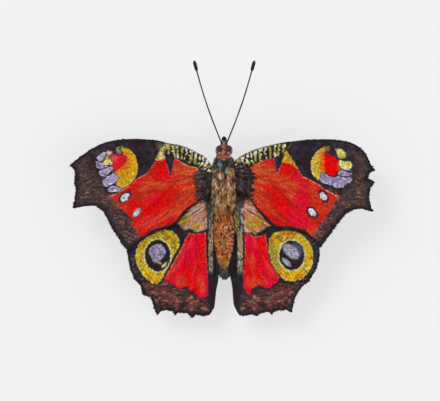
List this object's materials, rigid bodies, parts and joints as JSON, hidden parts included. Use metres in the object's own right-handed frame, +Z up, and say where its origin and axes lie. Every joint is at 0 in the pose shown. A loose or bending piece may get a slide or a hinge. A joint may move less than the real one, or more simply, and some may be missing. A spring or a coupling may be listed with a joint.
{
  "type": "peacock butterfly",
  "caption": "Life-size butterfly standing with its wings spread flat: notched wing margins, raised veins, clubbed antennae, a hairy body and a coiled proboscis. A still display model.",
  "frame": {"origin": "on the floor, under the centre of the box round the whole animal", "axes": "+Y towards the head, +X towards the right of the picture, +Z up from the floor; left in a node's name is the side on -X, which is also the animal's own left"},
  "size_m": [0.0622, 0.0529, 0.0126],
  "materials": {
    "body_hair": "short brown hair",
    "eye": "faceted, glossy",
    "dark_shell": "satin",
    "forewing_scales": "matte scales",
    "hindwing_scales": "matte scales"
  },
  "bodies": {
    "root": {"thorax": "body_hair", "abdomen": "body_hair", "head": "body_hair", "palp_left": "body_hair", "palp_right": "body_hair", "eye_left": "eye", "eye_right": "eye", "proboscis": "dark_shell", "antenna_left": "dark_shell", "antenna_right": "dark_shell", "foreleg_left": "dark_shell", "foreleg_right": "dark_shell", "midleg_left": "dark_shell", "midleg_right": "dark_shell", "hindleg_left": "dark_shell", "hindleg_right": "dark_shell", "forewing_left": "forewing_scales", "forewing_right": "forewing_scales", "hindwing_left": "hindwing_scales", "hindwing_right": "hindwing_scales"}
  },
  "joints": []
}
